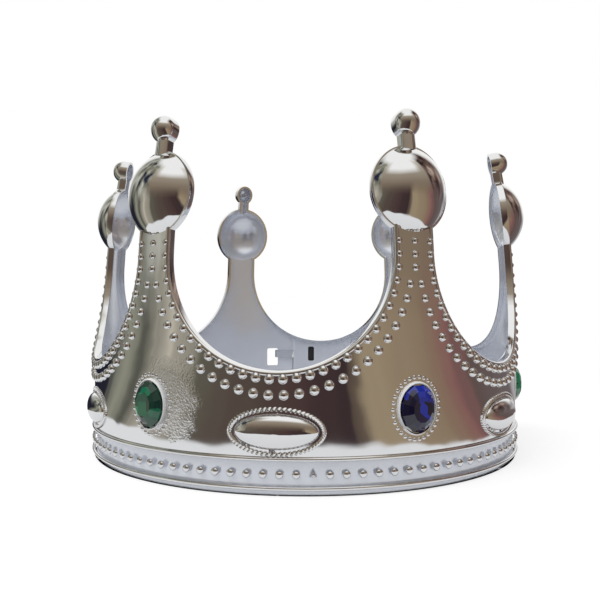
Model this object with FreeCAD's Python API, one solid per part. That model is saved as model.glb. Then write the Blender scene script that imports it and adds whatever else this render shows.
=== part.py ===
# A toy king's crown: one thin moulded strip, metallised silver, bent into a ring and
# closed by a hooked tongue at the back, with six faceted gems glued into bezels on it.
# Origin at the centre of the ring on the surface that the crown stands on, +Z up.
# The front valley faces -Y, and azimuth is counted from -Y towards +X.

import FreeCAD, Part
import math
import os

from FreeCAD import Placement, Rotation, Vector

os.makedirs("parts", exist_ok=True)

# Ring and wall
ring_radius = 95.0          # outer face of the wall
wall = 1.0                  # thickness of the moulding
prong_count = 6
lip_depth = 2.8             # how far the turned-in edge reaches, from the outer face
lip_width = 1.0             # thickness of the turned-in edge
lean_start_z = 58.0         # the prongs curve inwards above this height
lean_radius = 380.0         # radius of that curve
lean_sides = 3              # straight pieces that the curve is drawn with

# Band round the foot
band_height = 12.3          # middle of the upper ridge
band_step = 0.3             # the band stands proud of the wall by this much
ridge_radius = 0.8          # the two rounded ridges along the band
foot_ridge_z = 2.5          # middle of the lower ridge
band_bead_z = 7.1
band_bead_count = 105
band_bead_turn = 0.2         # how far past the front the first bead stands, as a share of their step
band_bead_radius = 1.5
band_bead_height = 0.8

# Valleys between the prongs, drawn on the flat strip and bent with it
valley_depth = 40.6         # from the middle of the round down to the bottom
valley_half_width = 41.6    # from the middle of the round to the prong's side
valley_centre_z = 82.4      # middle of that round
valley_sides = 24           # straight pieces that the round is drawn with

# Rows of beads round each valley
bead_radius = 1.45
bead_height = 1.25
bead_sides = 5              # flat sides of a bead
bead_root = 0.4             # how far a bead is sunk into the wall
inner_row_radius = 43.3
outer_row_radius = 48.7
bead_step_deg = 6.15        # beads of both rows stand on the same spokes
inner_row_spokes = 15       # from the middle of the valley up one side
outer_row_spokes = 13
neck_bead_step = 4.7        # up the neck of the prong
neck_bead_rows = 3          # beads in the middle of the neck

# Finial on each prong: a round dome with a half ball on a short stem
dome_z = 104.9              # middle of the dome
dome_radius = 15.3
dome_height = 8.2
dome_rim = 0.7              # flat rim round the dome
round_sides = 4             # straight pieces that a dome's or ball's profile is drawn with
dome_sides = 24             # flat sides round a dome
ball_sides = 12             # flat sides round a ball
top_flat = 0.2              # the small flat on top of a round, as a share of the facets' last ring
stem_width = 6.0
ball_z = 129.0              # middle of the ball
ball_radius = 5.2

# Gems and their bezels, one under each prong
gem_z = 28.2
gem_half_width = 6.75
gem_half_height = 8.25
gem_girdle = 1.7            # height of the upright edge above its seat
gem_height = 4.3            # height of the flat top above the seat
gem_table = 0.55            # the flat top is this share of the outline
gem_sides = 12
gem_clearance = 0.15        # glue line round the gem
seat_depth = 0.35           # the gem's flat seat lies this far below the wall's face
bezel_width = 0.9
bezel_height = 1.3
gem_ring_width = 1.9        # the low ring round the bezel
gem_ring_height = 0.8

# Oval bosses, one under each valley
boss_z = 21.4
boss_half_width = 14.7
boss_half_height = 6.3
boss_height = 3.6
boss_flat = 0.06            # the small flat on top is this share of the outline
boss_root = 2.5             # how far the solid boss reaches behind its foot before it is hollowed
boss_border_width = 2.1
oval_sides = 24             # straight sides that each oval is drawn with
boss_border_height = 1.1

# Closure at the back, where the ends of the strip overlap
outer_end_deg = 168.75      # edge of the outer end
inner_end_deg = 190.5       # edge of the inner end
end_gap = 0.3               # between the outer end's edge and the step that it meets
layer_gap = 0.25            # between the two layers
step_deg = 4.5              # the wall thickens inwards over this angle, up to the step
slot_deg = 197.7            # slot in the outer layer
slot_width = 6.7
slot_z = 32.2
slot_height = 10.4
spare_slot_deg = 183.4      # slot in the inner layer
spare_slot_width = 3.7
spare_slot_height = 8.6
tongue_z = 34.1
tongue_height = 4.3
tongue_clearance = 0.4
hook_length = 4.0           # how far the tongue turns back outside

full_turn = 360.0
prong_pitch = full_turn / prong_count
tall = 200.0                # longer than anything that is cut
well_inside = ring_radius * 0.9
well_outside = ring_radius * 1.1
margin = 1.0                # how far a cutting shape runs past what it cuts


def spin(shape, azimuth):
    """A copy of a shape that was built facing +X, turned to face that azimuth."""
    turned = shape.copy()
    turned.rotate(Vector(0, 0, 0), Vector(0, 0, 1), azimuth - 90.0)
    return turned


def face_radius(z):
    """Radius of the wall's outer face at a height."""
    rise = max(0.0, z - lean_start_z)
    return ring_radius - lean_radius + math.sqrt(lean_radius ** 2 - rise ** 2)


def lean_deg(z):
    """How far the wall leans inwards at a height."""
    return math.degrees(math.asin(max(0.0, z - lean_start_z) / lean_radius))


def strip_deg(strip_x):
    """Angle round the ring for a distance along the strip."""
    return math.degrees(strip_x / ring_radius)


def on_wall(shape, strip_x, z, azimuth):
    """A shape built with its root at the origin and facing +X, set on the wall's outer face."""
    turn = Rotation(Vector(0, 1, 0), -lean_deg(z))
    placed = shape.copy()
    placed.Placement = Placement(Vector(face_radius(z), 0, z), turn)
    return spin(placed, azimuth + strip_deg(strip_x))


def valley_azimuths():
    return [i * prong_pitch for i in range(prong_count)]


def prong_azimuths():
    return [(i + 0.5) * prong_pitch for i in range(prong_count)]


def revolved(points):
    """A solid turned round the Z axis from corners in the XZ plane."""
    corners = [Vector(x, 0, z) for x, z in points]
    face = Part.Face(Part.makePolygon(corners + corners[:1]))
    return face.revolve(Vector(0, 0, 0), Vector(0, 0, 1), full_turn)


def lean_points(depth, top_z):
    """Points on the wall's curve, that far below the outer face, up to a height."""
    rise = (top_z - lean_start_z) / lean_sides
    heights = [lean_start_z + i * rise for i in range(lean_sides + 1)]
    return [(face_radius(z) - depth, z) for z in heights]


def wall_blank():
    """The whole wall before the valleys are cut, as thick as the turned-in edge is deep."""
    band_face = ring_radius + band_step
    inside = ring_radius - lip_depth
    points = [(inside, 0), (band_face, 0)]
    for z in (foot_ridge_z, band_height):
        points += [
            (band_face, z - ridge_radius),
            (band_face + ridge_radius, z - ridge_radius / 2),
            (band_face + ridge_radius, z + ridge_radius / 2),
            (band_face, z + ridge_radius),
        ]
    points.append((ring_radius, points[-1][1]))
    points += lean_points(0, dome_z)
    points += reversed(lean_points(lip_depth, dome_z))
    return revolved(points)


def wall_core():
    """The space inside the wall."""
    top = dome_z + margin
    points = [(0, -margin), (ring_radius - wall, -margin)]
    points += lean_points(wall, top)
    points.append((0, top))
    return revolved(points)


def valley_outline(grow, distance):
    """The valley's outline on a plane that stands at that distance from the axis, facing +X."""
    points = []
    for i in range(valley_sides + 1):
        turn = math.pi * (i / valley_sides - 0.5)
        strip_x = (valley_half_width + grow) * math.sin(turn)
        z = valley_centre_z - (valley_depth + grow) * math.cos(turn)
        points.append(Vector(distance, distance * math.tan(strip_x / ring_radius), z))
    points.append(Vector(points[-1].x, points[-1].y, tall))
    points.append(Vector(points[0].x, points[0].y, tall))
    return Part.makePolygon(points + points[:1])


def valley_cutter(grow, azimuth):
    """Cuts one valley with sides that point at the axis."""
    near = ring_radius * 0.5
    far = ring_radius * 1.2
    cutter = Part.makeLoft([valley_outline(grow, near), valley_outline(grow, far)], True, True)
    return spin(cutter, azimuth)


def quarter_round(along, across):
    """Corners of a quarter of an oval profile, from its edge to its top."""
    turns = [math.pi / 2 * i / round_sides for i in range(round_sides + 1)]
    return [(along * math.sin(turn), across * math.cos(turn)) for turn in turns]


def cap_round(rise, foot):
    """Corners of a low dome's profile, from its edge to its top."""
    radius = (foot ** 2 + rise ** 2) / (2 * rise)
    whole = math.asin(foot / radius)
    turns = [whole * (1 - i / round_sides) for i in range(round_sides + 1)]
    return [(radius * math.cos(turn) - radius + rise, radius * math.sin(turn)) for turn in turns]


def oval_corners(half_width, half_height, x, sides):
    """Corners of an upright oval facing +X, at a distance."""
    corners = []
    for i in range(sides):
        turn = 2 * math.pi * (i + 0.5) / sides
        corners.append(Vector(x, half_width * math.cos(turn), half_height * math.sin(turn)))
    return corners


def faceted(rings):
    """A solid with flat faces between rings of corners, closed at both ends."""
    faces = [Part.Face(Part.makePolygon(ring + ring[:1])) for ring in (rings[0], rings[-1])]
    for low, high in zip(rings, rings[1:]):
        for i in range(len(low)):
            j = (i + 1) % len(low)
            faces.append(Part.Face(Part.makePolygon([low[i], low[j], high[j], high[i], low[i]])))
    return Part.Solid(Part.Shell(faces))


def round_knob(profile, sides):
    """A faceted solid about the X axis from corners of distance and radius, with a small flat end."""
    top = (profile[-1][0], profile[-2][1] * top_flat)
    return faceted([oval_corners(radius, radius, x, sides) for x, radius in profile[:-1] + [top]])


def finial(inset, back):
    """The outer form of a dome, its stem and its ball, facing +X, or the same form inset."""
    rim = dome_radius + dome_rim - inset
    cap = [(x - inset, radius) for x, radius in cap_round(dome_height, dome_radius - inset)]
    dome = round_knob([(-back, rim), (-inset, rim)] + cap, dome_sides)
    ball_at = Vector(0, 0, ball_z - dome_z)
    radius = ball_radius - inset
    ball = round_knob([(-back, radius)] + quarter_round(radius, radius), ball_sides)
    ball.translate(ball_at)
    half_stem = stem_width / 2 - inset
    section = [Vector(-back, -half_stem, 0)]
    for x, y in reversed(quarter_round(half_stem, half_stem)):
        section.insert(1, Vector(x, -y, 0))
    for x, y in reversed(quarter_round(half_stem, half_stem)[:-1]):
        section.append(Vector(x, y, 0))
    section.append(Vector(-back, half_stem, 0))
    stem = Part.Face(Part.makePolygon(section + section[:1])).extrude(ball_at)
    return dome.multiFuse([ball, stem])


def oval(half_width, half_height, low, high):
    """An upright oval pillar facing +X, from one distance to another."""
    return faceted([oval_corners(half_width, half_height, x, oval_sides) for x in (low, high)])


def ring_wall(inner, outer, low, high):
    """A plain ring about the Z axis."""
    axis = Vector(0, 0, 1)
    at = Vector(0, 0, low)
    return Part.makeCylinder(outer, high - low, at, axis).cut(Part.makeCylinder(inner, high - low, at, axis))


def boss(inset):
    """The oval dome of a boss, facing +X, or the same form inset."""
    levels = cap_round(boss_height, boss_half_height)
    foot = ring_radius - boss_half_width ** 2 / (2 * ring_radius)
    root = foot - boss_root
    rings = [oval_corners(boss_half_width - inset, boss_half_height - inset, root, oval_sides)]
    top = ring_radius + boss_height - foot
    for x, across in levels[:-1]:
        share = across / boss_half_height
        at = foot + top * x / boss_height - inset
        rings.append(oval_corners(
            (boss_half_width - inset) * share, (boss_half_height - inset) * share, at, oval_sides))
    rings.append(oval_corners(
        (boss_half_width - inset) * boss_flat, (boss_half_height - inset) * boss_flat,
        ring_radius + boss_height - inset, oval_sides))
    body = faceted(rings)
    body.translate(Vector(0, 0, boss_z))
    return body


def boss_border():
    """The raised border round a boss, bent with the wall."""
    outer = (boss_half_width + boss_border_width, boss_half_height + boss_border_width)
    inner = (boss_half_width - wall, boss_half_height - wall)
    tube = oval(*outer, well_inside, well_outside).cut(oval(*inner, well_inside, well_outside))
    tube.translate(Vector(0, 0, boss_z))
    face = ring_radius + boss_border_height
    band = ring_wall(ring_radius - wall / 2, face, boss_z - outer[1] - margin, boss_z + outer[1] + margin)
    return tube.common(band)


def bezel_pad():
    """The bezel and the low ring round it, facing +X, before the gem's seat is sunk."""
    hole = (gem_half_width + gem_clearance, gem_half_height + gem_clearance)
    bezel = oval(hole[0] + bezel_width, hole[1] + bezel_width, -wall / 2, bezel_height)
    reach = bezel_width + gem_ring_width
    ring = oval(hole[0] + reach, hole[1] + reach, -wall, gem_ring_height)
    return bezel.fuse(ring)


def gem_seat():
    return oval(gem_half_width + gem_clearance, gem_half_height + gem_clearance, -seat_depth, tall)


def gem():
    """A faceted oval gem with its flat back at the seat, facing +X."""
    middle = ((1 + gem_table) / 2, (gem_girdle + 2 * gem_height) / 3)
    rings = []
    for share, height in ((1.0, 0.0), (1.0, gem_girdle), middle, (gem_table, gem_height)):
        size = (share * gem_half_width, share * gem_half_height)
        rings.append(oval_corners(*size, height - seat_depth, gem_sides))
    return faceted(rings)


def bead(radius, height):
    """A bead as a low faceted stud, facing +X, with its root in the wall."""
    share = bead_root / height
    base = []
    for i in range(bead_sides):
        turn = 2 * math.pi * i / bead_sides
        reach = radius * (1 + share)
        base.append(Vector(-bead_root, reach * math.cos(turn), reach * math.sin(turn)))
    tip = Vector(height, 0, 0)
    faces = [Part.Face(Part.makePolygon(base + base[:1]))]
    for i in range(bead_sides):
        j = (i + 1) % bead_sides
        faces.append(Part.Face(Part.makePolygon([base[i], base[j], tip, base[i]])))
    return Part.Solid(Part.Shell(faces))


def row_places():
    """Where the beads of one valley stand: distance along the strip, and height."""
    places = []
    for radius, spokes in ((inner_row_radius, inner_row_spokes), (outer_row_radius, outer_row_spokes)):
        for i in range(spokes):
            turn = math.radians(bead_step_deg * (i + 0.5))
            places.append((radius * math.sin(turn), valley_centre_z - radius * math.cos(turn)))
    top = top_bead_z()
    places.append((inner_row_radius, top))
    return places + [(-x, z) for x, z in places]


def top_bead_z():
    """Height of the highest beads on a neck."""
    turn = math.radians(bead_step_deg * (inner_row_spokes - 0.5))
    return valley_centre_z - inner_row_radius * math.cos(turn) + neck_bead_step


def clear_of_end(azimuth, radius):
    """Whether a bead of that radius stands clear of the outer end's edge."""
    return abs(azimuth - outer_end_deg) > strip_deg(radius + end_gap)


def beads():
    """All beads, without those that the outer end's edge would cut through."""
    stud = bead(bead_radius, bead_height)
    placed = []
    for azimuth in valley_azimuths():
        for x, z in row_places():
            if clear_of_end(azimuth + strip_deg(x), bead_radius):
                placed.append(on_wall(stud, x, z, azimuth))
    for azimuth in prong_azimuths():
        for i in range(neck_bead_rows):
            placed.append(on_wall(stud, 0, top_bead_z() - i * neck_bead_step, azimuth))
    band_stud = bead(band_bead_radius, band_bead_height)
    band_stud.translate(Vector(band_step, 0, 0))
    pitch = full_turn / band_bead_count
    for i in range(band_bead_count):
        azimuth = (i + band_bead_turn) * pitch
        if clear_of_end(azimuth, band_bead_radius):
            placed.append(on_wall(band_stud, 0, band_bead_z, azimuth))
    return placed


def plan_prism(corners, low, high):
    """An upright prism from corners given as azimuth and radius."""
    points = []
    for azimuth, radius in corners:
        turn = math.radians(azimuth)
        points.append(Vector(radius * math.sin(turn), -radius * math.cos(turn), low))
    face = Part.Face(Part.makePolygon(points + points[:1]))
    return face.extrude(Vector(0, 0, high - low))


def ring_sector(inner, outer, start, end, low, high):
    """Part of a ring between two azimuths."""
    axis = Vector(0, 0, 1)
    at = Vector(0, 0, low)
    sweep = end - start
    sector = Part.makeCylinder(outer, high - low, at, axis, sweep)
    sector = sector.cut(Part.makeCylinder(inner, high - low, at, axis, full_turn))
    sector.rotate(Vector(0, 0, 0), axis, start - 90.0)
    return sector


def slot_box(azimuth, width, z, height):
    """A box through the wall at an azimuth."""
    corner = Vector(well_inside, -width / 2, z - height / 2)
    box = Part.makeBox(well_outside - well_inside, width, height, corner)
    return spin(box, azimuth)


def close_back(shell):
    """Opens the ring at the back and laps its ends: a step, an inner layer, slots and a tongue."""
    back = 180.0
    valley = valley_cutter(0, back)
    wide_valley = valley_cutter(lip_width, back)
    low = -margin
    high = valley_centre_z
    deep = ring_radius - 2 * lip_depth - wall
    layer_face = ring_radius - wall - layer_gap
    layer_inside = layer_face - wall
    step_end = outer_end_deg - strip_deg(end_gap)
    step_start = step_end - step_deg

    behind_wall = ring_radius - wall
    layer_clear_deg = inner_end_deg + strip_deg(end_gap)
    edge_cut = ring_sector(behind_wall - margin, well_outside, step_end, outer_end_deg, low, high)
    clearing = ring_sector(deep, behind_wall, step_end, layer_clear_deg, low, high)
    slot = slot_box(slot_deg, slot_width, slot_z, slot_height)
    opened = shell.cut([edge_cut, clearing, slot])

    wedge = plan_prism([
        (step_start, behind_wall),
        (step_start, ring_radius - wall / 2),
        ((step_start + step_end) / 2, ring_radius - wall / 2),
        (step_end, ring_radius - wall / 2),
        (step_end, layer_inside),
    ], 0, high).cut(valley)
    layer_start = step_end - step_deg / 4
    layer_lip = layer_inside - lip_depth + wall
    layer = ring_sector(layer_lip, layer_face, layer_start, inner_end_deg, 0, high)
    hollow = ring_sector(deep, layer_inside, step_end - step_deg, inner_end_deg + margin, low, high)
    layer = layer.cut(valley).cut(hollow.cut(wide_valley))
    spare = slot_box(spare_slot_deg, spare_slot_width, tongue_z, spare_slot_height)
    back_side = ring_sector(deep, layer_face + layer_gap, back - prong_pitch, back + prong_pitch, low, high)
    layer = layer.cut(spare.common(back_side))

    turn_deg = slot_deg - strip_deg(slot_width / 2) + strip_deg(tongue_clearance)
    outside = ring_radius + tongue_clearance
    end_deg = turn_deg + strip_deg(wall)
    hook_deg = turn_deg - strip_deg(hook_length)
    middle_deg = (inner_end_deg + turn_deg) / 2
    tongue = plan_prism([
        (inner_end_deg - strip_deg(wall), layer_face),
        (middle_deg, layer_face),
        (turn_deg, layer_face),
        (turn_deg, outside),
        (hook_deg, outside),
        (hook_deg, outside + wall),
        (end_deg, outside + wall),
        (end_deg, layer_inside),
        (middle_deg, layer_inside),
        (inner_end_deg - strip_deg(wall), layer_inside),
    ], tongue_z - tongue_height / 2, tongue_z + tongue_height / 2)
    return opened.multiFuse([wedge, layer, tongue])


def crown_band():
    """The whole moulding: wall, turned-in edges, domes, bezels, bosses, beads and closure."""
    seat_places = [on_wall(gem_seat(), 0, gem_z, a) for a in prong_azimuths()]
    pads = [on_wall(bezel_pad(), 0, gem_z, a) for a in prong_azimuths()]
    domes = [on_wall(finial(0, lip_depth), 0, dome_z, a) for a in prong_azimuths()]
    bowls = [on_wall(finial(wall, lip_depth + margin), 0, dome_z, a) for a in prong_azimuths()]
    behind_face = Part.makeCylinder(ring_radius - wall / 2, valley_centre_z)
    bosses = [spin(boss(0).cut(behind_face), a) for a in valley_azimuths()]
    borders = [spin(boss_border(), a) for a in valley_azimuths()]
    boss_hollows = [spin(boss(wall), a) for a in valley_azimuths()]

    valleys = [valley_cutter(0, a) for a in valley_azimuths()]
    wide_valleys = [valley_cutter(lip_width, a) for a in valley_azimuths()]
    outer = wall_blank().cut(valleys).multiFuse(domes)
    hollow = wall_core().cut(wide_valleys)
    shell = outer.cut([hollow] + bowls)
    shell = shell.multiFuse(pads + bosses + borders)
    shell = shell.cut(seat_places + boss_hollows)
    return close_back(shell).multiFuse(beads())


crown = crown_band()
crown.exportStep("parts/crown_band.step")

gem_names = ("front_right", "right", "back_right", "back_left", "left", "front_left")
for name, azimuth in zip(gem_names, prong_azimuths()):
    on_wall(gem(), 0, gem_z, azimuth).exportStep("parts/gem_" + name + ".step")
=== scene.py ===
import bpy
import math
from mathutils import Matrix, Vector


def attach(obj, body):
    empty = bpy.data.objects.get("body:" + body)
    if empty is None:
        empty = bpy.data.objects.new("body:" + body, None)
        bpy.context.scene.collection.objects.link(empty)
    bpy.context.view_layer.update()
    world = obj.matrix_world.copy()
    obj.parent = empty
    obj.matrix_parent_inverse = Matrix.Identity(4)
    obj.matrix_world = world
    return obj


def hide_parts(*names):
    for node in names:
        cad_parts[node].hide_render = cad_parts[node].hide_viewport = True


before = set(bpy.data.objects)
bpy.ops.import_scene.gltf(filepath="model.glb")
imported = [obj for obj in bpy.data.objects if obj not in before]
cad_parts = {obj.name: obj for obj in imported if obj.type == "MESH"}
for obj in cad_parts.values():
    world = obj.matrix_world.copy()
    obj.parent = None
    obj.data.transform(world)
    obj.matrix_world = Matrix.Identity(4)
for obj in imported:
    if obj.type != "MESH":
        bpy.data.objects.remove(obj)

bpy.ops.object.select_all(action="DESELECT")
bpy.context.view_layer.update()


# The metallised finish. The whole moulding carries one bright vacuum coating, which shows
# the soft waves and fine speckle of the plastic under it. The inside is duller.
def orange_peel_group():
    """A node group that gives a roughness and a normal with waves, speckle and frosted patches."""
    group = bpy.data.node_groups.new("orange_peel", "ShaderNodeTree")
    for name, kind, start in (
        ("Smooth", "NodeSocketFloat", 0.06),
        ("Frosted", "NodeSocketFloat", 0.3),
        ("Frost Mask", "NodeSocketFloat", 0.0),
        ("Wave", "NodeSocketFloat", 0.1),
    ):
        socket = group.interface.new_socket(name=name, in_out="INPUT", socket_type=kind)
        socket.default_value = start
    for name, kind in (("Roughness", "NodeSocketFloat"), ("Normal", "NodeSocketVector")):
        group.interface.new_socket(name=name, in_out="OUTPUT", socket_type=kind)
    nodes, links = group.nodes, group.links
    inside = nodes.new("NodeGroupInput")
    outside = nodes.new("NodeGroupOutput")
    place = nodes.new("ShaderNodeTexCoord")
    fine = nodes.new("ShaderNodeTexNoise")
    fine.inputs["Scale"].default_value = 1300.0
    fine.inputs["Detail"].default_value = 2.0
    broad = nodes.new("ShaderNodeTexNoise")
    broad.inputs["Scale"].default_value = 90.0
    broad.inputs["Detail"].default_value = 1.0
    links.new(place.outputs["Object"], fine.inputs["Vector"])
    links.new(place.outputs["Object"], broad.inputs["Vector"])
    spread = nodes.new("ShaderNodeMix")
    links.new(inside.outputs["Frost Mask"], spread.inputs["Factor"])
    links.new(inside.outputs["Smooth"], spread.inputs["A"])
    links.new(inside.outputs["Frosted"], spread.inputs["B"])
    vary = nodes.new("ShaderNodeMath")
    vary.operation = "MULTIPLY_ADD"
    vary.inputs[1].default_value = 0.05
    links.new(broad.outputs["Fac"], vary.inputs[0])
    links.new(spread.outputs["Result"], vary.inputs[2])
    links.new(vary.outputs["Value"], outside.inputs["Roughness"])
    wave = nodes.new("ShaderNodeBump")
    wave.inputs["Distance"].default_value = 0.0006
    links.new(inside.outputs["Wave"], wave.inputs["Strength"])
    links.new(broad.outputs["Fac"], wave.inputs["Height"])
    speckle = nodes.new("ShaderNodeBump")
    speckle.inputs["Distance"].default_value = 0.0003
    links.new(inside.outputs["Frost Mask"], speckle.inputs["Strength"])
    links.new(fine.outputs["Fac"], speckle.inputs["Height"])
    links.new(wave.outputs["Normal"], speckle.inputs["Normal"])
    links.new(speckle.outputs["Normal"], outside.inputs["Normal"])
    return group


orange_peel = orange_peel_group()


def plated(name, metallic, colour, smooth, frosted, wave, patch=None):
    """A metallised plastic. The patch, if any, is a frosted place: its centre and radius."""
    material = bpy.data.materials.new(name)
    material.use_nodes = True
    nodes, links = material.node_tree.nodes, material.node_tree.links
    shader = nodes["Principled BSDF"]
    shader.inputs["Base Color"].default_value = (*colour, 1.0)
    shader.inputs["Metallic"].default_value = metallic
    finish = nodes.new("ShaderNodeGroup")
    finish.node_tree = orange_peel
    finish.inputs["Smooth"].default_value = smooth
    finish.inputs["Frosted"].default_value = frosted
    finish.inputs["Wave"].default_value = wave
    links.new(finish.outputs["Roughness"], shader.inputs["Roughness"])
    links.new(finish.outputs["Normal"], shader.inputs["Normal"])
    if patch:
        centre, radius = patch
        place = nodes.new("ShaderNodeTexCoord")
        ragged = nodes.new("ShaderNodeTexNoise")
        ragged.inputs["Scale"].default_value = 160.0
        ragged.inputs["Detail"].default_value = 4.0
        links.new(place.outputs["Object"], ragged.inputs["Vector"])
        away = nodes.new("ShaderNodeVectorMath")
        away.operation = "DISTANCE"
        away.inputs[1].default_value = centre
        links.new(place.outputs["Object"], away.inputs[0])
        rough_edge = nodes.new("ShaderNodeMath")
        rough_edge.operation = "MULTIPLY_ADD"
        rough_edge.inputs[1].default_value = radius
        links.new(ragged.outputs["Fac"], rough_edge.inputs[0])
        links.new(away.outputs["Value"], rough_edge.inputs[2])
        fade = nodes.new("ShaderNodeMapRange")
        fade.inputs["From Min"].default_value = radius * 1.6
        fade.inputs["From Max"].default_value = radius * 1.1
        links.new(rough_edge.outputs["Value"], fade.inputs["Value"])
        links.new(fade.outputs["Result"], finish.inputs["Frost Mask"])
    return material


silver = plated(
    "silver_plating", 1.0, (0.81, 0.82, 0.84), smooth=0.04, frosted=0.26, wave=0.22,
    patch=((-0.040, -0.086, 0.031), 0.014))
satin = plated("satin_inside", 0.62, (0.76, 0.79, 0.86), smooth=0.18, frosted=0.4, wave=0.3)


# The strip. The real crown is one thin plastic sheet, moulded flat with all its relief and then
# bent into a ring. One prong's length is made flat here, its face towards -Y and its foot on
# Z = 0, and then repeated six times and bent.
mm = 0.001
ring_radius = 95.0 * mm
prong_count = 6
pitch = 2 * math.pi * ring_radius / prong_count
wall = 1.0 * mm
lip_depth = 2.8 * mm
lip_width = 1.0 * mm
rim_proud = 0.5 * mm
rim_width = 1.7 * mm
rim_inner_round = 1.0 * mm
rim_outer_round = 0.5 * mm
valley_depth = 40.6 * mm
valley_half_width = 41.6 * mm
valley_centre_z = 82.4 * mm
valley_sides = 144
dome_z = 104.9 * mm
margin = 5.0 * mm
hair = 0.01 * mm


def choose(*pieces):
    """Selects these pieces only, and makes the last one active."""
    bpy.ops.object.select_all(action="DESELECT")
    for piece in pieces:
        piece.select_set(True)
    bpy.context.view_layer.objects.active = pieces[-1]


def pick(piece, kind, test):
    """Goes to edit mode with only the vertices, edges or faces selected that pass the test."""
    bpy.ops.object.mode_set(mode="EDIT")
    bpy.ops.mesh.select_mode(type=kind)
    bpy.ops.mesh.select_all(action="DESELECT")
    bpy.ops.object.mode_set(mode="OBJECT")
    mesh = piece.data
    for element in {"VERT": mesh.vertices, "EDGE": mesh.edges, "FACE": mesh.polygons}[kind]:
        element.select = test(element)
    bpy.ops.object.mode_set(mode="EDIT")


def shift(offset):
    """Moves the whole mesh of the active piece."""
    bpy.ops.object.mode_set(mode="EDIT")
    bpy.ops.mesh.select_all(action="SELECT")
    bpy.ops.transform.translate(value=offset)
    bpy.ops.object.mode_set(mode="OBJECT")


def add_box(name, low, high):
    """A box from its lowest to its highest corner."""
    size = [high[i] - low[i] for i in range(3)]
    middle = [(high[i] + low[i]) / 2 for i in range(3)]
    bpy.ops.mesh.primitive_cube_add(size=1.0, location=middle)
    box = bpy.context.object
    box.name = name
    box.scale = size
    bpy.ops.object.transform_apply(location=True, rotation=True, scale=True)
    return box


def add_knob(name, centre, rings, sides, widen=1.0):
    """A round or oval form facing -Y: rings of radius and depth from its back to its front."""
    radius, back = rings[0]
    disc_depth = 0.2 * mm
    bpy.ops.mesh.primitive_cylinder_add(
        vertices=sides, radius=radius, depth=disc_depth, rotation=(math.pi / 2, 0, 0))
    knob = bpy.context.object
    knob.name = name
    bpy.ops.object.transform_apply(location=True, rotation=True, scale=True)
    shift((0, back - disc_depth / 2, 0))
    front = min(face.center.y for face in knob.data.polygons)
    pick(knob, "FACE", lambda face: face.center.y == front)
    last_radius, last_y = radius, back - disc_depth
    for ring_size, y in rings[1:]:
        bpy.ops.mesh.extrude_region_move(TRANSFORM_OT_translate={"value": (0, y - last_y, 0)})
        if ring_size != last_radius:
            share = ring_size / last_radius
            bpy.ops.transform.resize(value=(share, 1, share), center_override=(0, y, 0))
        last_radius, last_y = ring_size, y
    bpy.ops.mesh.select_all(action="SELECT")
    bpy.ops.transform.resize(value=(widen, 1, 1), center_override=(0, 0, 0))
    bpy.ops.transform.translate(value=centre)
    bpy.ops.mesh.normals_make_consistent(inside=False)
    bpy.ops.object.mode_set(mode="OBJECT")
    return knob


def valley_block(name, centre_x, rings):
    """A U-shaped block on a valley's outline: rings of how far it is grown and its depth."""
    rings = [(valley_depth + grow, y) for grow, y in rings]
    widen = valley_half_width / valley_depth
    block = add_knob(name, (centre_x, 0, valley_centre_z), rings, valley_sides, widen)
    pick(block, "VERT", lambda vertex: vertex.co.z > valley_centre_z + hair)
    bpy.ops.transform.translate(value=(0, 0, 2 * valley_depth))
    bpy.ops.object.mode_set(mode="OBJECT")
    return block


def rounded(start, end, steps):
    """Points of a quarter round from one corner to another: each a grow and a depth."""
    points = []
    for i in range(steps + 1):
        turn = math.pi / 2 * i / steps
        points.append((start[0] + (end[0] - start[0]) * (1 - math.cos(turn)),
                       start[1] + (end[1] - start[1]) * math.sin(turn)))
    return points


def plain_valley(name, centre_x, grow):
    """Cuts a valley with square edges."""
    return valley_block(name, centre_x, [(grow, lip_depth + margin), (grow, -margin)])


def combine(target, other, operation):
    """Joins or cuts target with another closed mesh, which is used up."""
    step = target.modifiers.new("combine", "BOOLEAN")
    step.operation = operation
    step.object = other
    step.solver = "EXACT"
    step.material_mode = "TRANSFER"
    bpy.context.view_layer.objects.active = target
    bpy.ops.object.modifier_apply(modifier=step.name)
    bpy.data.objects.remove(other, do_unlink=True)


# The finial on top of each prong: a round dome with a thin rim, a short stem and a half ball.
# It is moulded in one with the sheet, with the same wall all over, so it is hollow behind.
dome_radius = 15.3 * mm
dome_rim = 0.7 * mm
dome_rim_round = 0.35 * mm
dome_rim_top = 0.75
dome_height = 8.2 * mm
dome_steps = 17
dome_tip = 0.12 * mm
ball_z = 129.0 * mm
ball_radius = 5.2 * mm
stem_half_width = 3.0 * mm
stem_bulge = 2.0 * mm
round_steps = 12
round_tip = 0.1 * mm
tip_sink = 0.001 * mm


def dome_rings(inset, back):
    """Rings of the dome and its rim, or of the hollow that lies that far inside them."""
    foot = dome_radius - inset
    radius = (foot ** 2 + dome_height ** 2) / (2 * dome_height)
    whole = math.asin(foot / radius)
    rings = [
        (foot + dome_rim, back),
        (foot + dome_rim, inset + dome_rim_round),
        (foot + dome_rim_top * dome_rim, inset),
        (foot, inset),
    ]
    for i in range(1, dome_steps):
        turn = whole * (1 - i / dome_steps)
        rise = radius * (math.cos(turn) - math.cos(whole))
        rings.append((radius * math.sin(turn), inset - rise))
    rings.append((dome_tip, inset - dome_height + tip_sink))
    return rings


def ball_rings(inset, back):
    """Rings of the half ball, or of the hollow inside it."""
    radius = ball_radius - inset
    rings = [(radius, back)]
    for i in range(round_steps):
        turn = math.pi / 2 * i / round_steps
        rings.append((radius * math.cos(turn), -radius * math.sin(turn)))
    rings.append((round_tip, -radius + tip_sink))
    return rings


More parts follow.
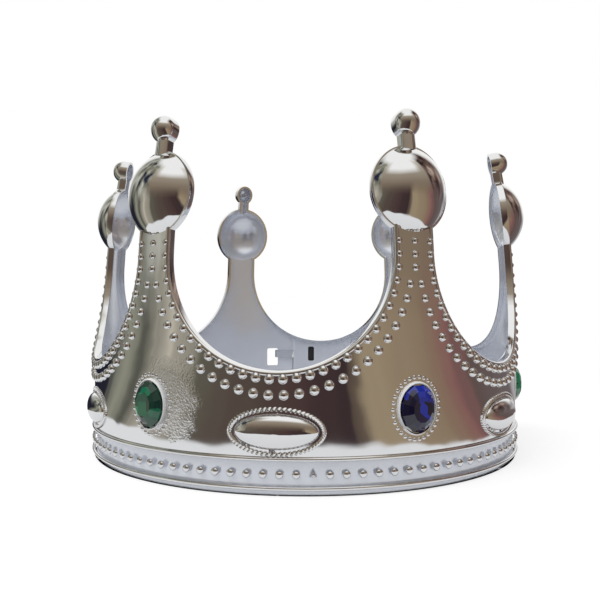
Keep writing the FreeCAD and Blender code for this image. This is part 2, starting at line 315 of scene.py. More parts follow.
def add_finial(name, inset, back):
    """The outer form of a finial, or the form of its hollow."""
    body = add_knob(name, (0, 0, dome_z), dome_rings(inset, back), sides=96)
    ball = add_knob(name + "_ball", (0, 0, ball_z), ball_rings(inset, back), sides=48)
    half_width = stem_half_width - inset
    bulge = stem_bulge - inset
    bpy.ops.mesh.primitive_cylinder_add(
        vertices=32, radius=half_width, depth=ball_z - dome_z,
        location=(0, 0, (ball_z + dome_z) / 2))
    stem = bpy.context.object
    stem.scale = (1, bulge / half_width, 1)
    bpy.ops.object.transform_apply(location=True, rotation=True, scale=True)
    stem_back = add_box(name + "_stem_back", (-half_width, 0, dome_z), (half_width, back, ball_z))
    combine(stem, stem_back, "UNION")
    combine(body, stem, "UNION")
    combine(body, ball, "UNION")
    return body


# The bosses. A smooth oval dome stands under each valley, moulded in one with the sheet and
# hollow behind. Its rope border is added further down.
boss_z = 21.4 * mm
boss_half_width = 14.6 * mm
boss_half_height = 6.1 * mm
boss_height = 3.6 * mm


def add_boss(name, x, inset, back):
    """The dome of one boss, or the form of its hollow."""
    foot = boss_half_height - inset
    rise = boss_height - inset
    rings = [(foot, back)]
    for i in range(round_steps):
        turn = math.pi / 2 * i / round_steps
        rings.append((foot * math.cos(turn), -rise * math.sin(turn)))
    rings.append((round_tip, -rise + tip_sink))
    return add_knob(name, (x, 0, boss_z), rings, sides=64, widen=(boss_half_width - inset) / foot)


# The band along the foot. The sheet steps forward a little between two rounded ridges, which
# stiffen the lower edge that the crown stands on.
band_height = 12.3 * mm
band_step = 0.3 * mm
ridge_radius = 0.75 * mm
foot_ridge_z = 2.5 * mm


def add_ridge(name, z):
    """One rounded ridge along the strip."""
    bpy.ops.mesh.primitive_cylinder_add(
        vertices=20, radius=ridge_radius, depth=pitch + 2 * margin,
        location=(0, -band_step, z), rotation=(0, math.pi / 2, 0))
    ridge = bpy.context.object
    ridge.name = name
    bpy.ops.object.transform_apply(location=True, rotation=True, scale=True)
    return ridge


# One prong's length of the sheet. Solid forms are joined and cut in turn: the sheet, the rolled
# valley edges, the finial, the bosses, the band and its ridges, and last the hollow behind it.
half = pitch / 2
long_half = half + margin
strip = add_box("crown_shell", (-long_half, 0, 0), (long_half, lip_depth, dome_z))
strip.data.materials.append(silver)
strip.data.materials.append(satin)
for side in (-1, 1):
    roll = [(rim_width, lip_depth)]
    roll += rounded((rim_width, 0), (rim_width - rim_outer_round, -rim_proud), steps=3)
    combine(strip, valley_block("rolled_edge", side * half, roll), "UNION")
trim = add_box("trim", (-long_half - margin, -margin, dome_z), (long_half + margin, margin, 2 * dome_z))
combine(strip, trim, "DIFFERENCE")
flare = [(0, lip_depth + margin)]
flare += rounded((0, rim_inner_round - rim_proud), (rim_inner_round, -rim_proud), steps=5)
flare.append((rim_inner_round, -margin))
for side in (-1, 1):
    combine(strip, valley_block("valley", side * half, flare), "DIFFERENCE")
combine(strip, add_finial("finial", 0.0, lip_depth), "UNION")
for side in (-1, 1):
    combine(strip, add_boss("boss", side * half, 0.0, lip_depth), "UNION")
band = add_box("band", (-long_half, -band_step, 0), (long_half, lip_depth, band_height))
combine(strip, band, "UNION")
for z in (band_height, foot_ridge_z):
    combine(strip, add_ridge("ridge", z), "UNION")
hollow = add_box(
    "hollow", (-long_half - margin, wall, -margin), (long_half + margin, lip_depth + margin, dome_z))
for side in (-1, 1):
    combine(hollow, plain_valley("wide_valley", side * half, lip_width), "DIFFERENCE")
combine(hollow, add_finial("bowl", wall, lip_depth + margin), "UNION")
for side in (-1, 1):
    combine(hollow, add_boss("boss_bowl", side * half, wall, lip_depth), "UNION")
hollow.data.materials.clear()
hollow.data.materials.append(satin)
combine(strip, hollow, "DIFFERENCE")


# The flat sheet bends evenly on the real crown. Upright and level cuts through its flat faces,
# below the domes, let the mesh do the same. What reaches past one prong's length is cut off.
def cut_across(piece, cuts):
    """Cuts the faces below the domes along the given planes."""
    choose(piece)
    for point, normal in cuts:
        pick(piece, "FACE", lambda face: face.center.z < cut_top)
        bpy.ops.mesh.bisect(plane_co=point, plane_no=normal)
        bpy.ops.object.mode_set(mode="OBJECT")


cut_top = 91 * mm
bend_step = 2.0 * mm
bends_each_side = 24
level_cut_heights = [z * mm for z in range(16, 92, 4)]
upright_cuts = [((i * bend_step, 0, 0), (1, 0, 0)) for i in range(-bends_each_side, bends_each_side + 1)]
cut_across(strip, upright_cuts + [((0, 0, z), (0, 0, 1)) for z in level_cut_heights])
bpy.ops.object.mode_set(mode="EDIT")
for side in (1, -1):
    bpy.ops.mesh.select_all(action="SELECT")
    bpy.ops.mesh.bisect(plane_co=(side * half, 0, 0), plane_no=(side, 0, 0), clear_outer=True)
bpy.ops.object.mode_set(mode="OBJECT")


# The beads. Two rows follow each valley, closing up on the neck, with three more between
# them. They are low half-round studs of the same moulding, smaller towards the neck.
valley_bead = 1.8 * mm
neck_bead = 1.25 * mm
valley_bead_z = 39 * mm
neck_bead_z = 87 * mm
bead_sink = 0.1 * mm
bead_back = bead_sink * 1.5
bead_proud = 0.9
inner_row_radius = 43.3 * mm
outer_row_radius = 48.7 * mm
bead_step = math.radians(6.15)
inner_row_spokes = 15
outer_row_spokes = 13
neck_bead_step = 4.7 * mm
neck_bead_rows = 3


def bead_radius_at(z):
    """Beads are smaller up on the neck."""
    share = (z - valley_bead_z) / (neck_bead_z - valley_bead_z)
    return valley_bead + (neck_bead - valley_bead) * min(1, max(0, share))


places = []
for radius, spokes in ((inner_row_radius, inner_row_spokes), (outer_row_radius, outer_row_spokes)):
    for i in range(spokes):
        turn = bead_step * (i + 0.5)
        places.append((half - radius * math.sin(turn), valley_centre_z - radius * math.cos(turn)))
top_bead_z = places[inner_row_spokes - 1][1] + neck_bead_step
places.append((half - inner_row_radius, top_bead_z))
places += [(-x, z) for x, z in places]
places += [(0, top_bead_z - i * neck_bead_step) for i in range(neck_bead_rows)]


def start_group(name):
    """An empty mesh object, active and in edit mode, that takes the next primitives."""
    group = bpy.data.objects.new(name, bpy.data.meshes.new(name))
    bpy.context.collection.objects.link(group)
    choose(group)
    group.data.materials.append(silver)
    bpy.ops.object.mode_set(mode="EDIT")
    return group


def cut_back(depth):
    """Cuts off what lies deeper than this, closes the cut and leaves edit mode."""
    bpy.ops.mesh.select_all(action="SELECT")
    bpy.ops.mesh.bisect(plane_co=(0, depth, 0), plane_no=(0, 1, 0), clear_outer=True, use_fill=True)
    bpy.ops.object.mode_set(mode="OBJECT")


def add_studs(name, studs, segments, rings):
    """Half-round studs on the strip's face: x, z, face depth, radius and share that stands proud."""
    group = start_group(name)
    for x, z, y, radius, proud in studs:
        bpy.ops.mesh.primitive_uv_sphere_add(
            segments=segments, ring_count=rings, radius=radius,
            location=(x, y + bead_sink, z), rotation=(math.pi / 2, 0, 0), scale=(1, 1, proud))
    cut_back(bead_back)
    return group


beads = add_studs("beads", [
    (x, z, 0, bead_radius_at(z), bead_proud) for x, z in places
], segments=16, rings=12)

# The bezel. A smooth rounded wall of the moulding stands round each gem and holds it, with a
# ring of fine beads round it.
gem_z = 28.2 * mm
bezel_half_width = 7.35 * mm
bezel_half_height = 8.85 * mm
bezel_thickness = 0.42 * mm
bezel_height = 1.2 * mm
gem_ring_offset = 2.0 * mm
gem_ring_beads = 30
gem_ring_bead = 0.8 * mm
gem_ring_proud = 0.8
bezel = start_group("bezel")
bpy.ops.mesh.primitive_torus_add(
    major_segments=64, minor_segments=12, major_radius=1.0,
    minor_radius=bezel_thickness / bezel_half_width, rotation=(math.pi / 2, 0, 0))
bpy.ops.mesh.select_all(action="SELECT")
bpy.ops.transform.resize(value=(
    bezel_half_width, bezel_height / bezel_thickness * bezel_half_width, bezel_half_height))
bpy.ops.transform.translate(value=(0, 0, gem_z))
cut_back(bead_back)
gem_ring = add_studs("gem_ring", [
    ((bezel_half_width + gem_ring_offset) * math.cos(2 * math.pi * i / gem_ring_beads),
     gem_z + (bezel_half_height + gem_ring_offset) * math.sin(2 * math.pi * i / gem_ring_beads),
     0, gem_ring_bead, gem_ring_proud)
    for i in range(gem_ring_beads)
], segments=10, rings=8)

# The rope border round each boss. It is part of the moulding too: short slanted strands laid
# side by side on an oval.
rope_half_width = boss_half_width + 1.6 * mm
rope_half_height = boss_half_height + 1.55 * mm
rope_strands = 60
strand_length = 1.35 * mm
strand_width = 0.62 * mm
strand_rise = 0.95 * mm
strand_slant = math.radians(32)
rope = start_group("rope")
for i in range(rope_strands):
    turn = 2 * math.pi * (i + 0.5) / rope_strands
    along = math.atan2(rope_half_height * math.cos(turn), -rope_half_width * math.sin(turn))
    bpy.ops.mesh.primitive_uv_sphere_add(
        segments=8, ring_count=6, radius=1.0,
        location=(
            half + rope_half_width * math.cos(turn), 0, boss_z + rope_half_height * math.sin(turn)),
        rotation=(0, math.pi / 2 - along - strand_slant, 0),
        scale=(strand_width, strand_rise, strand_length))
cut_back(bead_sink)


# The whole strip. The parts of one prong's length are joined, the prong is curved inwards above
# the valleys, and the length is repeated six times end to end.
lean_start_z = 58.0 * mm
lean_radius = 380.0 * mm


def lean_inwards(piece):
    """Curves what is above the lean's start inwards."""
    choose(piece)
    shift((0, 0, -lean_start_z))
    heights = [vertex.co.z for vertex in piece.data.vertices]
    lean = piece.modifiers.new("lean", "SIMPLE_DEFORM")
    lean.deform_method = "BEND"
    lean.deform_axis = "X"
    lean.angle = max(heights) / lean_radius
    lean.limits = (-min(heights) / (max(heights) - min(heights)), 1.0)
    bpy.ops.object.modifier_apply(modifier=lean.name)
    shift((0, 0, lean_start_z))


silver_slot = strip.data.materials.find("silver_plating")
for face in strip.data.polygons:
    if face.center.y < wall / 2 and face.normal.y < 0.1:
        face.material_index = silver_slot
choose(beads, bezel, gem_ring, rope, strip)
bpy.ops.object.join()
lean_inwards(strip)
shift((-(prong_count - 1) * half, 0, 0))
copies = strip.modifiers.new("copies", "ARRAY")
copies.count = prong_count
copies.use_relative_offset = False
copies.use_constant_offset = True
copies.constant_offset_displace = (pitch, 0, 0)
bpy.ops.object.modifier_apply(modifier=copies.name)

# The row of small beads along the band. It runs evenly round the whole strip, without regard
# to the prongs, and leaves one place for the mark below.
whole_turn = prong_count * pitch
band_bead_z = 7.1 * mm
band_bead_count = 105
band_bead_turn = 0.2
band_bead_radius = 1.4 * mm
band_bead_proud = 0.6
band_bead_step = whole_turn / band_bead_count
first_band_bead = math.ceil(-band_bead_count / 2 - band_bead_turn)
gate_bead = 2
band_bead_places = [
    (first_band_bead + band_bead_turn + i) * band_bead_step for i in range(band_bead_count)
    if first_band_bead + i != gate_bead
]
band_beads = add_studs("band_beads", [
    (x, band_bead_z, -band_step, band_bead_radius, band_bead_proud) for x in band_bead_places
], segments=14, rings=8)
choose(band_beads, strip)
bpy.ops.object.join()

# The mark on the band where the plastic was let into the mould: a low three-sided stud in the
# place of one bead, over a short slot lined near-black as painted shade.
gate_x = (gate_bead + band_bead_turn) * band_bead_step
gate_size = 1.9 * mm
gate_top_share = 0.35
gate_lift = 0.1
gate_round = 0.2 * mm
gate_rise = 1.1 * mm
gate_slot_width = 2.3 * mm
gate_slot_height = 0.8 * mm
gate_slot_drop = 1.7 * mm
# Painted shade: a near-black material lines the gate slot and the recess behind the spare slot, where
# shadow falls.
painted_shade = bpy.data.materials.new("painted_deep_shade")
painted_shade.use_nodes = True
painted_shade.node_tree.nodes["Principled BSDF"].inputs["Base Color"].default_value = (0.012, 0.012, 0.014, 1)
gate = start_group("gate")
bpy.ops.mesh.primitive_cone_add(
    vertices=3, radius1=gate_size, radius2=gate_size * gate_top_share, depth=gate_rise + bead_sink,
    location=(gate_x, -band_step - (gate_rise - bead_sink) / 2, band_bead_z + gate_size * gate_lift),
    rotation=(math.pi / 2, 0, 0))
bpy.ops.mesh.select_all(action="SELECT")
bpy.ops.mesh.bevel(offset=gate_round, segments=2)
bpy.ops.object.mode_set(mode="OBJECT")
choose(gate, strip)
bpy.ops.object.join()

# The closure. The strip's two ends lap at the back without glue: one end steps inwards and runs
# behind the other, and its tongue hooks out through a slot. A spare slot fits a larger head.
degree = ring_radius * math.pi / 180
outer_end = 168.75 * degree
inner_end = 190.5 * degree
end_gap = 0.3 * mm
layer_face = wall + 0.25 * mm
layer_inside = layer_face + wall
step_length = 4.5 * degree
slot_x = 197.7 * degree
slot_width = 6.7 * mm
slot_z = 32.2 * mm
slot_height = 10.4 * mm
spare_slot_x = 183.4 * degree
spare_slot_width = 3.7 * mm
spare_slot_height = 8.6 * mm
tongue_z = 34.1 * mm
tongue_height = 4.3 * mm
tongue_clearance = 0.4 * mm
tongue_round = 0.3 * mm
hook_length = 4.0 * mm
slot_round = 1.0 * mm
spare_recess = 0.7
wedge_foot = 1.02
layer_bends = 29


def add_slot(name, x, width, z, height):
    """A slot with rounded corners, as deep as both layers."""
    slot = add_box(
        name, (x - width / 2, -margin, z - height / 2), (x + width / 2, margin, z + height / 2))
    corners = [vertex.co.copy() for vertex in slot.data.vertices]

    def runs_through(edge):
        a, b = (corners[i] for i in edge.vertices)
        return abs(a.y - b.y) > margin

    pick(slot, "EDGE", runs_through)
    bpy.ops.mesh.bevel(offset=slot_round, segments=4)
    bpy.ops.object.mode_set(mode="OBJECT")
    return slot


choose(strip)
for cut_at in (outer_end, outer_end - end_gap):
    bpy.ops.object.mode_set(mode="EDIT")
    bpy.ops.mesh.select_all(action="SELECT")
    bpy.ops.mesh.bisect(plane_co=(cut_at, 0, 0), plane_no=(1, 0, 0))
    bpy.ops.object.mode_set(mode="OBJECT")
pick(strip, "FACE", lambda face: outer_end - end_gap < face.center.x < outer_end)
bpy.ops.mesh.delete(type="FACE")
pick(strip, "VERT", lambda vertex: vertex.co.x > outer_end - end_gap / 2)
bpy.ops.transform.translate(value=(-whole_turn, 0, 0))
bpy.ops.mesh.select_all(action="SELECT")
bpy.ops.mesh.remove_doubles(threshold=hair)
both_ends = (outer_end - end_gap, outer_end - whole_turn)
pick(strip, "VERT", lambda vertex: min(abs(vertex.co.x - x) for x in both_ends) < hair)
bpy.ops.mesh.fill_holes(sides=0)
bpy.ops.object.mode_set(mode="OBJECT")
gate_slot_z = band_bead_z - gate_slot_drop
gate_slot = add_box(
    "gate_slot", (gate_x - gate_slot_width / 2, -margin, gate_slot_z - gate_slot_height / 2),
    (gate_x + gate_slot_width / 2, wall / 2, gate_slot_z + gate_slot_height / 2))
# Painted shade: a shallow recess in the strip behind the spare slot, lined near-black, stands in for the
# shadowed gap between the two layers.
shade_x = spare_slot_x - whole_turn
shade_width = spare_slot_width + wall
shade_height = spare_slot_height + wall
spare_shade = add_box(
    "spare_shade", (shade_x - shade_width / 2, wall * spare_recess, tongue_z - shade_height / 2),
    (shade_x + shade_width / 2, margin, tongue_z + shade_height / 2))
for cutter in (gate_slot, spare_shade):
    cutter.data.materials.append(painted_shade)
    combine(strip, cutter, "DIFFERENCE")
combine(strip, add_slot("slot", slot_x - whole_turn, slot_width, slot_z, slot_height), "DIFFERENCE")

step_end = outer_end - end_gap
layer = add_box(
    "inner_layer", (step_end, layer_face, 0), (inner_end, layer_inside + lip_depth - wall, dome_z))
layer.data.materials.append(silver)
layer.data.materials.append(satin)
combine(layer, plain_valley("valley", 3 * pitch, 0.0), "DIFFERENCE")
layer_hollow = add_box(
    "layer_hollow", (step_end - margin, layer_inside, -margin), (inner_end + margin, 2 * margin, dome_z))
layer_hollow.data.materials.append(satin)
combine(layer_hollow, plain_valley("wide_valley", 3 * pitch, lip_width), "DIFFERENCE")
combine(layer, layer_hollow, "DIFFERENCE")
spare_slot = add_slot("spare", spare_slot_x, spare_slot_width, tongue_z, spare_slot_height)
combine(layer, spare_slot, "DIFFERENCE")
wedge = add_box(
    "wedge", (step_end - step_length, wall / 2, 0), (step_end + end_gap, layer_inside, dome_z))
pick(wedge, "VERT", lambda vertex: vertex.co.y > wall and vertex.co.x < step_end)
bpy.ops.transform.translate(value=(0, wall * wedge_foot - layer_inside, 0))
bpy.ops.object.mode_set(mode="OBJECT")
combine(wedge, plain_valley("valley", 3 * pitch, 0.0), "DIFFERENCE")
combine(layer, wedge, "UNION")
turn_x = slot_x - slot_width / 2 + tongue_clearance
low, high = tongue_z - tongue_height / 2, tongue_z + tongue_height / 2
tongue = add_box("tongue", (inner_end - wall, layer_face, low), (turn_x + wall, layer_inside, high))
hook_face = -tongue_clearance - wall
turned_end = add_box("turn", (turn_x, hook_face, low), (turn_x + wall, layer_inside, high))
combine(tongue, turned_end, "UNION")
hook = add_box("hook", (turn_x - hook_length, hook_face, low), (turn_x + wall, -tongue_clearance, high))
combine(tongue, hook, "UNION")
choose(tongue)
soften = tongue.modifiers.new("soften", "BEVEL")
soften.width = tongue_round
soften.segments = 2
bpy.ops.object.modifier_apply(modifier=soften.name)
combine(layer, tongue, "UNION")
first_bend = step_end - step_length
cut_across(layer, [((first_bend + i * bend_step, 0, 0), (1, 0, 0)) for i in range(1, layer_bends + 1)])


# The ring. The whole strip with its lap is bent round, welded and finished: bright plating on
# every outer face, the duller one inside.
crease_angle = math.radians(32)
choose(layer, strip)
bpy.ops.object.join()
along = [vertex.co.x for vertex in strip.data.vertices]
ring = strip.modifiers.new("ring", "SIMPLE_DEFORM")
ring.deform_method = "BEND"
ring.deform_axis = "Z"
ring.angle = (max(along) - min(along)) / ring_radius
bpy.ops.object.modifier_apply(modifier=ring.name)
bpy.ops.object.mode_set(mode="EDIT")
bpy.ops.mesh.select_all(action="SELECT")
bpy.ops.transform.translate(value=(0, -ring_radius, 0))
bpy.ops.mesh.remove_doubles(threshold=hair)
bpy.ops.mesh.normals_make_consistent(inside=False)
bpy.ops.object.mode_set(mode="OBJECT")
bpy.ops.object.shade_smooth_by_angle(angle=crease_angle)
# The faces painted near-black as shade keep that colour.
shade_slot = strip.data.materials.find("painted_deep_shade")
for face in strip.data.polygons:
    outwards = Vector((face.center.x, face.center.y, 0)).normalized()
    on_outside = face.center.xy.length > ring_radius - wall / 2 and face.normal.dot(outwards) > 0.1
    if face.center.z < boss_z and on_outside and face.material_index != shade_slot:
        face.material_index = silver_slot
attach(strip, "root")
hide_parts("crown_band")


# The gems. Clear coloured plastic with foil behind, moulded with a flat top and a ring of
# facets, and glued into the bezels. The CAD solids are used as they are, with these finishes.
def gem_finish(name, deep, middle, bright):
    """Clear plastic over foil: deep in its own colour, with painted glints: facets painted brighter here
    and there, as if lit.
    """
    material = bpy.data.materials.new(name)
    material.use_nodes = True
    nodes, links = material.node_tree.nodes, material.node_tree.links
    shader = nodes["Principled BSDF"]
    shader.inputs["Roughness"].default_value = 0.08
    shader.inputs["Coat Weight"].default_value = 0.6
    shader.inputs["Coat Roughness"].default_value = 0.03
    place = nodes.new("ShaderNodeTexCoord")
    facets = nodes.new("ShaderNodeTexVoronoi")
    facets.distance = "CHEBYCHEV"
    facets.inputs["Scale"].default_value = 210.0
    links.new(place.outputs["Object"], facets.inputs["Vector"])
    # Painted glints: random facet cells run from the gem's own deep colour up to a bright one, standing
    # in for facets that catch the light.
    tones = nodes.new("ShaderNodeValToRGB")
    tones.color_ramp.elements[0].position = 0.25
    tones.color_ramp.elements[0].color = (*deep, 1)
    tones.color_ramp.elements[1].position = 0.9
    tones.color_ramp.elements[1].color = (*bright, 1)
    between = tones.color_ramp.elements.new(0.6)
    between.color = (*middle, 1)
    links.new(facets.outputs["Color"], tones.inputs["Fac"])
    links.new(tones.outputs["Color"], shader.inputs["Base Color"])
    return material


green = gem_finish("green_gem", (0.004, 0.022, 0.018), (0.008, 0.075, 0.045), (0.02, 0.26, 0.12))
blue = gem_finish("blue_gem", (0.004, 0.004, 0.022), (0.006, 0.01, 0.10), (0.015, 0.035, 0.42))
for name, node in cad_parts.items():
    if name.startswith("gem_"):
        tint = blue if name in ("gem_front_right", "gem_back_right", "gem_left") else green
        node.data.materials.clear()
        node.data.materials.append(tint)


# The floor: a sheet of white paper on a brown table, which fades to plain white for the camera.
# Only reflections see the table.
def room_stripes_group():
    """A node group that gives the room's upright stripes of colour, by direction from the crown."""
    group = bpy.data.node_groups.new("room_stripes", "ShaderNodeTree")
    for name, kind in (
        ("Color", "NodeSocketColor"),
        ("Round", "NodeSocketFloat"),
        ("Clutter", "NodeSocketFloat"),
    ):
        group.interface.new_socket(name=name, in_out="OUTPUT", socket_type=kind)
    nodes, links = group.nodes, group.links
    outside = nodes.new("NodeGroupOutput")
    place = nodes.new("ShaderNodeTexCoord")
    direction = nodes.new("ShaderNodeVectorMath")
    direction.operation = "NORMALIZE"
    links.new(place.outputs["Object"], direction.inputs[0])
    stretch = nodes.new("ShaderNodeMapping")
    stretch.inputs["Scale"].default_value = (1.0, 1.0, 0.4)
    links.new(direction.outputs["Vector"], stretch.inputs["Vector"])
    clutter = nodes.new("ShaderNodeTexNoise")
    clutter.inputs["Scale"].default_value = 4.5
    clutter.inputs["Detail"].default_value = 4.0
    links.new(stretch.outputs["Vector"], clutter.inputs["Vector"])
    split = nodes.new("ShaderNodeSeparateXYZ")
    links.new(direction.outputs["Vector"], split.inputs["Vector"])
    backwards = nodes.new("ShaderNodeMath")
    backwards.operation = "MULTIPLY"
    backwards.inputs[1].default_value = -1.0
    links.new(split.outputs["Y"], backwards.inputs[0])
    turn = nodes.new("ShaderNodeMath")
    turn.operation = "ARCTAN2"
    links.new(split.outputs["X"], turn.inputs[0])
    links.new(backwards.outputs["Value"], turn.inputs[1])
    where = nodes.new("ShaderNodeMapRange")
    where.inputs["From Min"].default_value = -math.pi
    where.inputs["From Max"].default_value = math.pi
    links.new(turn.outputs["Value"], where.inputs["Value"])
    loosened = nodes.new("ShaderNodeMath")
    loosened.operation = "MULTIPLY_ADD"
    loosened.inputs[1].default_value = 0.08
    links.new(clutter.outputs["Fac"], loosened.inputs[0])
    links.new(where.outputs["Result"], loosened.inputs[2])
    walls = nodes.new("ShaderNodeValToRGB")
    room_walls = [
        (0.00, (0.20, 0.20, 0.22)),
        (0.14, (0.012, 0.014, 0.03)),
        (0.25, (0.02, 0.02, 0.03)),
        (0.29, (0.30, 0.30, 0.23)),
        (0.325, (0.10, 0.10, 0.08)),
        (0.37, (0.58, 0.53, 0.43)),
        (0.415, (0.13, 0.12, 0.09)),
        (0.47, (0.10, 0.075, 0.06)),
        (0.55, (0.075, 0.045, 0.042)),
        (0.605, (0.045, 0.028, 0.03)),
        (0.64, (0.36, 0.28, 0.18)),
        (0.72, (0.28, 0.20, 0.13)),
        (0.755, (0.26, 0.12, 0.11)),
        (0.785, (0.13, 0.09, 0.08)),
        (0.88, (0.16, 0.13, 0.13)),
        (1.00, (0.20, 0.20, 0.22)),
    ]
    for i, (position, colour) in enumerate(room_walls):
        stop = walls.color_ramp.elements[0] if i == 0 else walls.color_ramp.elements.new(position)
        stop.position = position
        stop.color = (*colour, 1)
    links.new(loosened.outputs["Value"], walls.inputs["Fac"])
    links.new(walls.outputs["Color"], outside.inputs["Color"])
    links.new(where.outputs["Result"], outside.inputs["Round"])
    links.new(clutter.outputs["Fac"], outside.inputs["Clutter"])
    return group


room_stripes = room_stripes_group()
paper_reach = 0.165
paper_tone = 0.34
paper_mirrored = 0.47
paper_seen = 0.70
ragged_from = 0.045
ragged_to = 0.053
bpy.ops.mesh.primitive_circle_add(vertices=96, radius=4.0, fill_type="NGON", location=(0, 0, -0.0002))
floor = bpy.context.object
floor.name = "floor"
floor_look = bpy.data.materials.new("white_floor")
floor_look.use_nodes = True
nodes, links = floor_look.node_tree.nodes, floor_look.node_tree.links
paper = nodes["Principled BSDF"]
paper.inputs["Base Color"].default_value = (paper_tone, paper_tone, paper_tone, 1)
paper.inputs["Roughness"].default_value = 0.9
paper.inputs["Specular IOR Level"].default_value = 0.0
path = nodes.new("ShaderNodeLightPath")
mirrored = nodes.new("ShaderNodeMath")
mirrored.operation = "MULTIPLY"
mirrored.inputs[1].default_value = paper_mirrored
links.new(path.outputs["Is Glossy Ray"], mirrored.inputs[0])
own_white = nodes.new("ShaderNodeMath")
own_white.operation = "MULTIPLY_ADD"
own_white.inputs[1].default_value = paper_seen
links.new(path.outputs["Is Camera Ray"], own_white.inputs[0])
links.new(mirrored.outputs["Value"], own_white.inputs[2])
paper.inputs["Emission Color"].default_value = (1, 1, 1, 1)
links.new(own_white.outputs["Value"], paper.inputs["Emission Strength"])
place = nodes.new("ShaderNodeTexCoord")
ripple = nodes.new("ShaderNodeTexNoise")
ripple.inputs["Scale"].default_value = 9.0
ripple.inputs["Detail"].default_value = 1.0
links.new(place.outputs["Object"], ripple.inputs["Vector"])
away = nodes.new("ShaderNodeVectorMath")
away.operation = "LENGTH"
links.new(place.outputs["Object"], away.inputs[0])
ragged = nodes.new("ShaderNodeMath")
ragged.operation = "MULTIPLY_ADD"
ragged.inputs[1].default_value = 0.09
links.new(ripple.outputs["Fac"], ragged.inputs[0])
links.new(away.outputs["Value"], ragged.inputs[2])
edge = nodes.new("ShaderNodeMapRange")
edge.inputs["From Min"].default_value = paper_reach + ragged_from
edge.inputs["From Max"].default_value = paper_reach + ragged_to
links.new(ragged.outputs["Value"], edge.inputs["Value"])
far_glossy = nodes.new("ShaderNodeMath")
far_glossy.operation = "MULTIPLY"
links.new(edge.outputs["Result"], far_glossy.inputs[0])
links.new(path.outputs["Is Glossy Ray"], far_glossy.inputs[1])
table_top = nodes.new("ShaderNodeEmission")
table_stripes = nodes.new("ShaderNodeGroup")
table_stripes.node_tree = room_stripes
links.new(table_stripes.outputs["Color"], table_top.inputs["Color"])
with_table = nodes.new("ShaderNodeMixShader")
links.new(far_glossy.outputs["Value"], with_table.inputs["Fac"])
links.new(paper.outputs["BSDF"], with_table.inputs[1])
links.new(table_top.outputs["Emission"], with_table.inputs[2])
fade = nodes.new("ShaderNodeMapRange")
fade.interpolation_type = "SMOOTHSTEP"
fade.inputs["From Min"].default_value = 0.16
fade.inputs["From Max"].default_value = 0.5
links.new(away.outputs["Value"], fade.inputs["Value"])
far_seen = nodes.new("ShaderNodeMath")
far_seen.operation = "MULTIPLY"
links.new(fade.outputs["Result"], far_seen.inputs[0])
links.new(path.outputs["Is Camera Ray"], far_seen.inputs[1])
plain_white = nodes.new("ShaderNodeEmission")
plain_white.inputs["Color"].default_value = (1, 1, 1, 1)
with_white = nodes.new("ShaderNodeMixShader")
links.new(far_seen.outputs["Value"], with_white.inputs["Fac"])
links.new(with_table.outputs["Shader"], with_white.inputs[1])
links.new(plain_white.outputs["Emission"], with_white.inputs[2])
links.new(with_white.outputs["Shader"], nodes["Material Output"].inputs["Surface"])
floor.data.materials.append(floor_look)


# The room: half a sphere of brown walls and a bright ceiling, which only reflections see.
# Its colours stand for the walls, the table's far side and the window that the plating mirrors.
room_radius = 1.8
bpy.ops.mesh.primitive_uv_sphere_add(segments=64, ring_count=32, radius=room_radius, location=(0, 0, 0))
room = bpy.context.object
room.name = "room"
bpy.ops.object.mode_set(mode="EDIT")
bpy.ops.mesh.select_all(action="SELECT")
bpy.ops.mesh.bisect(plane_co=(0, 0, -0.001), plane_no=(0, 0, -1), clear_outer=True)
bpy.ops.object.mode_set(mode="OBJECT")
room.visible_camera = False
room.visible_diffuse = False
room.visible_shadow = False
room_look = bpy.data.materials.new("brown_room")
room_look.use_nodes = True
nodes, links = room_look.node_tree.nodes, room_look.node_tree.links
nodes.remove(nodes["Principled BSDF"])
stripes = nodes.new("ShaderNodeGroup")
stripes.node_tree = room_stripes
place = nodes.new("ShaderNodeTexCoord")
split = nodes.new("ShaderNodeSeparateXYZ")
links.new(place.outputs["Object"], split.inputs["Vector"])
height = nodes.new("ShaderNodeMapRange")
height.inputs["From Max"].default_value = room_radius
links.new(split.outputs["Z"], height.inputs["Value"])


def ramp_of(source, stops):
    """A colour ramp node fed by a value."""
    ramp = nodes.new("ShaderNodeValToRGB")
    for i, (position, colour) in enumerate(stops):
        stop = ramp.color_ramp.elements[i] if i < 2 else ramp.color_ramp.elements.new(position)
        stop.position = position
        stop.color = (*colour, 1)
    links.new(source, ramp.inputs["Fac"])
    return ramp.outputs["Color"]


def blend_of(factor, low, high):
    """A mix of two colours."""
    mix = nodes.new("ShaderNodeMix")
    mix.data_type = "RGBA"
    links.new(factor, mix.inputs["Factor"])
    links.new(low, mix.inputs["A"])
    links.new(high, mix.inputs["B"])
    return mix.outputs["Result"]


black, white = (0, 0, 0), (1, 1, 1)
front_wall = ramp_of(height.outputs["Result"], [
    (0.15, (0.17, 0.125, 0.09)), (0.92, (0.62, 0.57, 0.48)),
    (0.45, (0.26, 0.205, 0.15)), (0.75, (0.40, 0.345, 0.27)),
])
left_wall = ramp_of(stripes.outputs["Clutter"], [
    (0.38, (0.02, 0.025, 0.05)), (0.66, (0.62, 0.62, 0.55)), (0.50, (0.26, 0.25, 0.19)),
])
right_wall = ramp_of(stripes.outputs["Clutter"], [
    (0.38, (0.03, 0.018, 0.018)), (0.66, (0.48, 0.37, 0.30)), (0.50, (0.17, 0.11, 0.09)),
])
on_right = ramp_of(stripes.outputs["Round"], [(0.48, black), (0.52, white)])
side_wall = blend_of(on_right, left_wall, right_wall)
in_front = ramp_of(stripes.outputs["Round"], [
    (0.345, black), (0.73, black), (0.365, white), (0.71, white),
])
high_wall = blend_of(in_front, side_wall, front_wall)
rise = ramp_of(height.outputs["Result"], [(0.0, black), (0.42, white)])
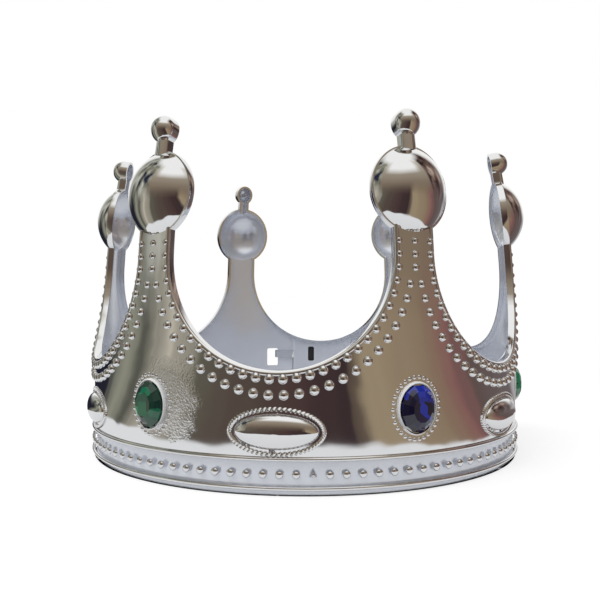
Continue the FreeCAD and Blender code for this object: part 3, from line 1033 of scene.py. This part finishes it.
with_low = blend_of(rise, stripes.outputs["Color"], high_wall)
bright_ceiling = nodes.new("ShaderNodeRGB")
bright_ceiling.outputs["Color"].default_value = (1.0, 0.99, 0.96, 1)
top_height = ramp_of(height.outputs["Result"], [(0.66, black), (0.82, white)])
top_front = ramp_of(stripes.outputs["Round"], [
    (0.37, black), (0.69, black), (0.42, white), (0.64, white),
])
overhead = ramp_of(height.outputs["Result"], [(0.88, black), (0.95, white)])
behind = ramp_of(stripes.outputs["Round"], [
    (0.12, white), (0.90, white), (0.17, black), (0.85, black),
])
above_table = ramp_of(height.outputs["Result"], [(0.10, black), (0.22, white)])


def masks_of(operation, one, other):
    """Two masks put together by a math node."""
    step = nodes.new("ShaderNodeMath")
    step.operation = operation
    links.new(one, step.inputs[0])
    links.new(other, step.inputs[1])
    return step.outputs["Value"]


window = masks_of("MULTIPLY", top_height, top_front)
rear = masks_of("MULTIPLY", behind, above_table)
top = masks_of("MAXIMUM", overhead, masks_of("MAXIMUM", window, rear))
glow = nodes.new("ShaderNodeEmission")
links.new(blend_of(top, with_low, bright_ceiling.outputs["Color"]), glow.inputs["Color"])
links.new(glow.outputs["Emission"], nodes["Material Output"].inputs["Surface"])
room.data.materials.append(room_look)


# The light: an even white surround that is a little weaker where it only lights, and one soft
# lamp from the front left that reflections don't show.
world = bpy.data.worlds.new("studio")
bpy.context.scene.world = world
world.use_nodes = True
nodes, links = world.node_tree.nodes, world.node_tree.links
sky = nodes["Background"]
sky.inputs["Color"].default_value = (1, 1, 1, 1)
path = nodes.new("ShaderNodeLightPath")
seen = nodes.new("ShaderNodeMath")
seen.operation = "MAXIMUM"
links.new(path.outputs["Is Camera Ray"], seen.inputs[0])
links.new(path.outputs["Is Glossy Ray"], seen.inputs[1])
seen_through = nodes.new("ShaderNodeMath")
seen_through.operation = "MAXIMUM"
links.new(seen.outputs["Value"], seen_through.inputs[0])
links.new(path.outputs["Is Transmission Ray"], seen_through.inputs[1])
lighting_strength = 0.8
strength = nodes.new("ShaderNodeMapRange")
strength.inputs["To Min"].default_value = lighting_strength
strength.inputs["To Max"].default_value = 1.0
links.new(seen_through.outputs["Value"], strength.inputs["Value"])
links.new(strength.outputs["Result"], sky.inputs["Strength"])

bpy.ops.object.light_add(type="AREA", location=(-0.5, -0.7, 1.3))
key = bpy.context.object
key.visible_glossy = False
key.data.shape = "RECTANGLE"
key.data.size = 0.9
key.data.size_y = 0.6
key.data.energy = 9.0
aim = Vector((0, 0, 0.06)) - key.location
key.rotation_euler = aim.to_track_quat("-Z", "Y").to_euler()


# The camera, where the photograph's one stood: close to the crown and almost level with the
# middle of it. Its place and lens are those of the fit to the photo.
camera_turn = math.radians(5.81)
camera_away = 0.3246
camera_height = 0.0644
camera_yaw = math.radians(-0.381)
camera_pitch = math.radians(0.314)
photo_focal_px = 685.8
photo_size_px = 600
camera_data = bpy.data.cameras.new("camera")
camera_data.sensor_width = 36.0
camera_data.lens = photo_focal_px / photo_size_px * camera_data.sensor_width
camera_data.clip_start = 0.01
camera = bpy.data.objects.new("camera", camera_data)
bpy.context.collection.objects.link(camera)
camera.location = (
    camera_away * math.sin(camera_turn), -camera_away * math.cos(camera_turn), camera_height)
camera.rotation_euler = (math.pi / 2 + camera_pitch, 0, camera_turn - camera_yaw)
bpy.context.scene.camera = camera
bpy.context.scene.view_settings.view_transform = "Standard"
